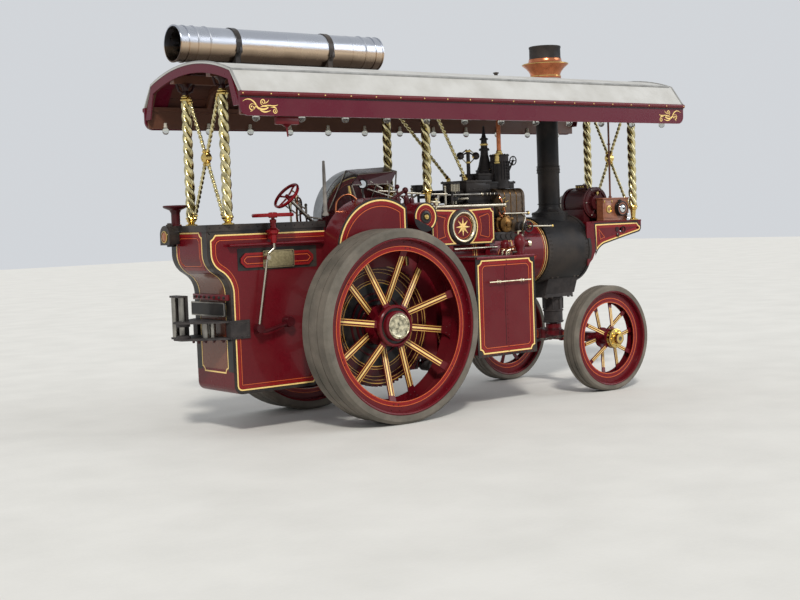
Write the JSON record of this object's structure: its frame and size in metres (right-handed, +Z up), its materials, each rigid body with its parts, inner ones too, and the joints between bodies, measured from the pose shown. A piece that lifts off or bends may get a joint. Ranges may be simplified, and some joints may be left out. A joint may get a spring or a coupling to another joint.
{
  "type": "steam traction engine",
  "caption": "Steam road traction engine with a full length canopy, twisted columns, spoked rubber tyred wheels, side tanks, a winding drum and a dynamo ahead of its chimney.",
  "frame": {"origin": "on the ground, midway between the rear end of the drawbar frame and the canopy's front edge, on the middle line", "axes": "+X forward towards the chimney end, +Y to the engine's left, +Z up"},
  "size_m": [6.5, 2.194, 4.121],
  "materials": {
    "maroon_paint": "gloss",
    "black_paint": "satin",
    "red_paint": "gloss",
    "roof_paint": "satin",
    "brass": "polished",
    "copper": "polished",
    "steel": "brushed",
    "cast_iron": "cast",
    "timber": "varnished",
    "rubber": "matt"
  },
  "bodies": {
    "engine": {"firebox_and_hornplates": "maroon_paint", "boiler_barrel": "maroon_paint", "smokebox": "black_paint", "chimney": "black_paint", "chimney_cap": "copper", "chimney_extension": "steel", "extension_straps": "black_paint", "canopy_roof": "roof_paint", "canopy_frame": "timber", "canopy_ribs": "timber", "canopy_boards": "maroon_paint", "canopy_columns": "brass", "column_braces": "brass", "tender": "maroon_paint", "tender_coping": "black_paint", "tender_side_shelves": "maroon_paint", "drawbar_frame": "black_paint", "rope_rollers": "steel", "rear_lamp_and_plate": "black_paint", "side_tanks": "maroon_paint", "footboards": "maroon_paint", "gear_covers": "maroon_paint", "motion_covers": "maroon_paint", "motion_work": "steel", "cylinder_block": "black_paint", "steam_chest": "black_paint", "copper_pipes": "copper", "feed_pump": "maroon_paint", "dynamo_bracket": "maroon_paint", "dynamo": "maroon_paint", "switch_box": "timber", "perch_bracket": "cast_iron", "steering_gear": "black_paint", "steering_chains": "steel", "control_wheels": "red_paint", "rear_axle": "maroon_paint"},
    "smokebox_door": {"smokebox_door": "black_paint"},
    "flywheel": {"flywheel": "maroon_paint"},
    "winding_drum": {"winding_drum": "maroon_paint"},
    "dynamo_pulley": {"dynamo_pulley": "steel"},
    "front_axle": {"front_axle": "maroon_paint"},
    "front_wheel_near": {"front_wheel_near": "maroon_paint", "front_tyre_near": "rubber"},
    "front_wheel_far": {"front_wheel_far": "maroon_paint", "front_tyre_far": "rubber"},
    "rear_wheel_near": {"rear_wheel_near": "maroon_paint", "rear_tyre_near": "rubber"},
    "rear_wheel_far": {"rear_wheel_far": "maroon_paint", "rear_tyre_far": "rubber"}
  },
  "joints": [
    {"name": "steering", "type": "hinge", "parent": "engine", "child": "front_axle", "pos_m": [1.9, 0, 0.7], "axis": [0, 0, 1], "range_deg": [-30, 30], "deforming": ["steering_chains"]},
    {"name": "front_near_spin", "type": "hinge", "parent": "front_axle", "child": "front_wheel_near", "pos_m": [1.9, -0.875, 0.614], "axis": [0, 1, 0], "continuous": true},
    {"name": "front_far_spin", "type": "hinge", "parent": "front_axle", "child": "front_wheel_far", "pos_m": [1.9, 0.875, 0.614], "axis": [0, 1, 0], "continuous": true},
    {"name": "rear_near_spin", "type": "hinge", "parent": "engine", "child": "rear_wheel_near", "pos_m": [-1.22, -0.862, 1], "axis": [0, 1, 0], "continuous": true},
    {"name": "rear_far_spin", "type": "hinge", "parent": "engine", "child": "rear_wheel_far", "pos_m": [-1.22, 0.862, 1], "axis": [0, 1, 0], "continuous": true},
    {"name": "flywheel_spin", "type": "hinge", "parent": "engine", "child": "flywheel", "pos_m": [-0.6, 0, 2.11], "axis": [0, 1, 0], "continuous": true},
    {"name": "winding_drum_spin", "type": "hinge", "parent": "engine", "child": "winding_drum", "pos_m": [-1.22, 0.53, 1], "axis": [0, 1, 0], "continuous": true},
    {"name": "dynamo_spin", "type": "hinge", "parent": "engine", "child": "dynamo_pulley", "pos_m": [2.47, 0, 2.202], "axis": [0, 1, 0], "continuous": true},
    {"name": "smokebox_door_swing", "type": "hinge", "parent": "engine", "child": "smokebox_door", "pos_m": [2.2, 0.316, 1.65], "axis": [0, 0, 1], "range_deg": [0, 85]}
  ]
}
